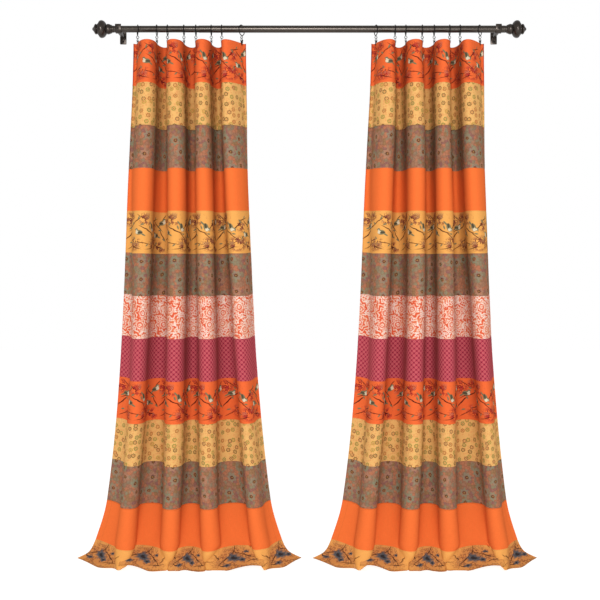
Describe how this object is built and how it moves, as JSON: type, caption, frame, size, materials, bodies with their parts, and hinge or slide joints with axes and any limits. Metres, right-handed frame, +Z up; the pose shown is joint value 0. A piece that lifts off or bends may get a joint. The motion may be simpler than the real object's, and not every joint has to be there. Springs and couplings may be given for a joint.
{
  "type": "curtain set",
  "caption": "Pair of patchwork curtains hung by clip rings on a telescoping metal rod with turned finials and two wall brackets.",
  "frame": {"origin": "on the wall face, midway along the rod and level with the rod's axis", "axes": "+X along the rod to the right, +Y into the wall, +Z up"},
  "size_m": [1.838, 0.1807, 2.1977],
  "materials": {
    "rod": "oil-rubbed bronze, satin powder coat",
    "hardware": "dark bronze, satin",
    "cloth": "printed cotton-blend patchwork in thirteen bands"
  },
  "bodies": {
    "root": {"rod_outer_tube": "rod", "finial_right": "rod", "bracket_left": "rod", "bracket_right": "rod", "cup_screw_left": "hardware", "cup_screw_right": "hardware"},
    "rod_extension": {"rod_inner_tube": "rod", "finial_left": "rod"},
    "left_outer_ring": {"left_ring_1": "hardware", "left_clip_1": "hardware", "left_panel": "cloth"},
    "left_ring_carrier_2": {"left_ring_2": "hardware", "left_clip_2": "hardware"},
    "left_ring_carrier_3": {"left_ring_3": "hardware", "left_clip_3": "hardware"},
    "left_ring_carrier_4": {"left_ring_4": "hardware", "left_clip_4": "hardware"},
    "left_ring_carrier_5": {"left_ring_5": "hardware", "left_clip_5": "hardware"},
    "left_ring_carrier_6": {"left_ring_6": "hardware", "left_clip_6": "hardware"},
    "left_ring_carrier_7": {"left_ring_7": "hardware", "left_clip_7": "hardware"},
    "left_leading_ring": {"left_ring_8": "hardware", "left_clip_8": "hardware"},
    "left_jaw_lever_1": {"left_jaw_1": "hardware"},
    "left_jaw_lever_2": {"left_jaw_2": "hardware"},
    "left_jaw_lever_3": {"left_jaw_3": "hardware"},
    "left_jaw_lever_4": {"left_jaw_4": "hardware"},
    "left_jaw_lever_5": {"left_jaw_5": "hardware"},
    "left_jaw_lever_6": {"left_jaw_6": "hardware"},
    "left_jaw_lever_7": {"left_jaw_7": "hardware"},
    "left_jaw_lever_8": {"left_jaw_8": "hardware"},
    "right_outer_ring": {"right_ring_8": "hardware", "right_clip_8": "hardware", "right_panel": "cloth"},
    "right_ring_carrier_7": {"right_ring_7": "hardware", "right_clip_7": "hardware"},
    "right_ring_carrier_6": {"right_ring_6": "hardware", "right_clip_6": "hardware"},
    "right_ring_carrier_5": {"right_ring_5": "hardware", "right_clip_5": "hardware"},
    "right_ring_carrier_4": {"right_ring_4": "hardware", "right_clip_4": "hardware"},
    "right_ring_carrier_3": {"right_ring_3": "hardware", "right_clip_3": "hardware"},
    "right_ring_carrier_2": {"right_ring_2": "hardware", "right_clip_2": "hardware"},
    "right_leading_ring": {"right_ring_1": "hardware", "right_clip_1": "hardware"},
    "right_jaw_lever_1": {"right_jaw_1": "hardware"},
    "right_jaw_lever_2": {"right_jaw_2": "hardware"},
    "right_jaw_lever_3": {"right_jaw_3": "hardware"},
    "right_jaw_lever_4": {"right_jaw_4": "hardware"},
    "right_jaw_lever_5": {"right_jaw_5": "hardware"},
    "right_jaw_lever_6": {"right_jaw_6": "hardware"},
    "right_jaw_lever_7": {"right_jaw_7": "hardware"},
    "right_jaw_lever_8": {"right_jaw_8": "hardware"}
  },
  "joints": [
    {"name": "rod_telescope", "type": "slide", "parent": "root", "child": "rod_extension", "axis": [-1, 0, 0], "range_m": [-0.004, 0.56]},
    {"name": "left_stack_slide", "type": "slide", "parent": "root", "child": "left_outer_ring", "axis": [-1, 0, 0], "range_m": [-0.03, 0.055]},
    {"name": "left_draw", "type": "slide", "parent": "left_outer_ring", "child": "left_leading_ring", "axis": [1, 0, 0], "range_m": [-0.2, 0.31], "deforming": ["left_panel"]},
    {"name": "left_ring_2_slide", "type": "slide", "parent": "left_outer_ring", "child": "left_ring_carrier_2", "axis": [1, 0, 0], "range_m": [-0.01786, 0.02769]},
    {"name": "left_ring_3_slide", "type": "slide", "parent": "left_outer_ring", "child": "left_ring_carrier_3", "axis": [1, 0, 0], "range_m": [-0.03999, 0.06198]},
    {"name": "left_ring_4_slide", "type": "slide", "parent": "left_outer_ring", "child": "left_ring_carrier_4", "axis": [1, 0, 0], "range_m": [-0.08356, 0.12952]},
    {"name": "left_ring_5_slide", "type": "slide", "parent": "left_outer_ring", "child": "left_ring_carrier_5", "axis": [1, 0, 0], "range_m": [-0.11786, 0.18268]},
    {"name": "left_ring_6_slide", "type": "slide", "parent": "left_outer_ring", "child": "left_ring_carrier_6", "axis": [1, 0, 0], "range_m": [-0.15884, 0.2462]},
    {"name": "left_ring_7_slide", "type": "slide", "parent": "left_outer_ring", "child": "left_ring_carrier_7", "axis": [1, 0, 0], "range_m": [-0.18083, 0.28029]},
    {"name": "left_jaw_1_open", "type": "hinge", "parent": "left_outer_ring", "child": "left_jaw_lever_1", "pos_m": [-0.69, -0.1, -0.0506], "axis": [-0.2588, 0.9659, 0], "range_deg": [0, 25], "stiffness_Nm_per_rad": 0.02, "springref_deg": -34.38},
    {"name": "left_jaw_2_open", "type": "hinge", "parent": "left_ring_carrier_2", "child": "left_jaw_lever_2", "pos_m": [-0.613, -0.1, -0.0506], "axis": [0, 1, 0], "range_deg": [0, 25], "stiffness_Nm_per_rad": 0.02, "springref_deg": -34.38},
    {"name": "left_jaw_3_open", "type": "hinge", "parent": "left_ring_carrier_3", "child": "left_jaw_lever_3", "pos_m": [-0.57, -0.1, -0.0506], "axis": [0, 1, 0], "range_deg": [0, 25], "stiffness_Nm_per_rad": 0.02, "springref_deg": -34.38},
    {"name": "left_jaw_4_open", "type": "hinge", "parent": "left_ring_carrier_4", "child": "left_jaw_lever_4", "pos_m": [-0.504, -0.1, -0.0506], "axis": [0, 1, 0], "range_deg": [0, 25], "stiffness_Nm_per_rad": 0.02, "springref_deg": -34.38},
    {"name": "left_jaw_5_open", "type": "hinge", "parent": "left_ring_carrier_5", "child": "left_jaw_lever_5", "pos_m": [-0.456, -0.1, -0.0506], "axis": [0, 1, 0], "range_deg": [0, 25], "stiffness_Nm_per_rad": 0.02, "springref_deg": -34.38},
    {"name": "left_jaw_6_open", "type": "hinge", "parent": "left_ring_carrier_6", "child": "left_jaw_lever_6", "pos_m": [-0.394, -0.1, -0.0506], "axis": [0, 1, 0], "range_deg": [0, 25], "stiffness_Nm_per_rad": 0.02, "springref_deg": -34.38},
    {"name": "left_jaw_7_open", "type": "hinge", "parent": "left_ring_carrier_7", "child": "left_jaw_lever_7", "pos_m": [-0.352, -0.1, -0.0506], "axis": [0, 1, 0], "range_deg": [0, 25], "stiffness_Nm_per_rad": 0.02, "springref_deg": -34.38},
    {"name": "left_jaw_8_open", "type": "hinge", "parent": "left_leading_ring", "child": "left_jaw_lever_8", "pos_m": [-0.272, -0.1, -0.0506], "axis": [0.4695, 0.8829, 0], "range_deg": [0, 25], "stiffness_Nm_per_rad": 0.02, "springref_deg": -34.38},
    {"name": "right_stack_slide", "type": "slide", "parent": "root", "child": "right_outer_ring", "axis": [1, 0, 0], "range_m": [-0.03, 0.045]},
    {"name": "right_draw", "type": "slide", "parent": "right_outer_ring", "child": "right_leading_ring", "axis": [-1, 0, 0], "range_m": [-0.2, 0.31], "deforming": ["right_panel"]},
    {"name": "right_ring_7_slide", "type": "slide", "parent": "right_outer_ring", "child": "right_ring_carrier_7", "axis": [-1, 0, 0], "range_m": [-0.01918, 0.02972]},
    {"name": "right_ring_6_slide", "type": "slide", "parent": "right_outer_ring", "child": "right_ring_carrier_6", "axis": [-1, 0, 0], "range_m": [-0.04117, 0.06381]},
    {"name": "right_ring_5_slide", "type": "slide", "parent": "right_outer_ring", "child": "right_ring_carrier_5", "axis": [-1, 0, 0], "range_m": [-0.08215, 0.12733]},
    {"name": "right_ring_4_slide", "type": "slide", "parent": "right_outer_ring", "child": "right_ring_carrier_4", "axis": [-1, 0, 0], "range_m": [-0.11645, 0.18049]},
    {"name": "right_ring_3_slide", "type": "slide", "parent": "right_outer_ring", "child": "right_ring_carrier_3", "axis": [-1, 0, 0], "range_m": [-0.16002, 0.24803]},
    {"name": "right_ring_2_slide", "type": "slide", "parent": "right_outer_ring", "child": "right_ring_carrier_2", "axis": [-1, 0, 0], "range_m": [-0.18215, 0.28232]},
    {"name": "right_jaw_1_open", "type": "hinge", "parent": "right_leading_ring", "child": "right_jaw_lever_1", "pos_m": [0.268, -0.1, -0.0506], "axis": [-0.2588, 0.9659, 0], "range_deg": [0, 25], "stiffness_Nm_per_rad": 0.02, "springref_deg": -34.38},
    {"name": "right_jaw_2_open", "type": "hinge", "parent": "right_ring_carrier_2", "child": "right_jaw_lever_2", "pos_m": [0.345, -0.1, -0.0506], "axis": [0, 1, 0], "range_deg": [0, 25], "stiffness_Nm_per_rad": 0.02, "springref_deg": -34.38},
    {"name": "right_jaw_3_open", "type": "hinge", "parent": "right_ring_carrier_3", "child": "right_jaw_lever_3", "pos_m": [0.388, -0.1, -0.0506], "axis": [0, 1, 0], "range_deg": [0, 25], "stiffness_Nm_per_rad": 0.02, "springref_deg": -34.38},
    {"name": "right_jaw_4_open", "type": "hinge", "parent": "right_ring_carrier_4", "child": "right_jaw_lever_4", "pos_m": [0.454, -0.1, -0.0506], "axis": [0, 1, 0], "range_deg": [0, 25], "stiffness_Nm_per_rad": 0.02, "springref_deg": -34.38},
    {"name": "right_jaw_5_open", "type": "hinge", "parent": "right_ring_carrier_5", "child": "right_jaw_lever_5", "pos_m": [0.502, -0.1, -0.0506], "axis": [0, 1, 0], "range_deg": [0, 25], "stiffness_Nm_per_rad": 0.02, "springref_deg": -34.38},
    {"name": "right_jaw_6_open", "type": "hinge", "parent": "right_ring_carrier_6", "child": "right_jaw_lever_6", "pos_m": [0.564, -0.1, -0.0506], "axis": [0, 1, 0], "range_deg": [0, 25], "stiffness_Nm_per_rad": 0.02, "springref_deg": -34.38},
    {"name": "right_jaw_7_open", "type": "hinge", "parent": "right_ring_carrier_7", "child": "right_jaw_lever_7", "pos_m": [0.606, -0.1, -0.0506], "axis": [0, 1, 0], "range_deg": [0, 25], "stiffness_Nm_per_rad": 0.02, "springref_deg": -34.38},
    {"name": "right_jaw_8_open", "type": "hinge", "parent": "right_outer_ring", "child": "right_jaw_lever_8", "pos_m": [0.686, -0.1, -0.0506], "axis": [0.4695, 0.8829, 0], "range_deg": [0, 25], "stiffness_Nm_per_rad": 0.02, "springref_deg": -34.38}
  ],
  "couplings": [
    {"joint": "left_ring_2_slide", "follows": "left_draw", "ratio": 0.089299},
    {"joint": "left_ring_3_slide", "follows": "left_draw", "ratio": 0.19993},
    {"joint": "left_ring_4_slide", "follows": "left_draw", "ratio": 0.4178},
    {"joint": "left_ring_5_slide", "follows": "left_draw", "ratio": 0.58928},
    {"joint": "left_ring_6_slide", "follows": "left_draw", "ratio": 0.79417},
    {"joint": "left_ring_7_slide", "follows": "left_draw", "ratio": 0.90413},
    {"joint": "right_ring_7_slide", "follows": "right_draw", "ratio": 0.095867},
    {"joint": "right_ring_6_slide", "follows": "right_draw", "ratio": 0.20583},
    {"joint": "right_ring_5_slide", "follows": "right_draw", "ratio": 0.41071},
    {"joint": "right_ring_4_slide", "follows": "right_draw", "ratio": 0.5822},
    {"joint": "right_ring_3_slide", "follows": "right_draw", "ratio": 0.80007},
    {"joint": "right_ring_2_slide", "follows": "right_draw", "ratio": 0.9107}
  ]
}
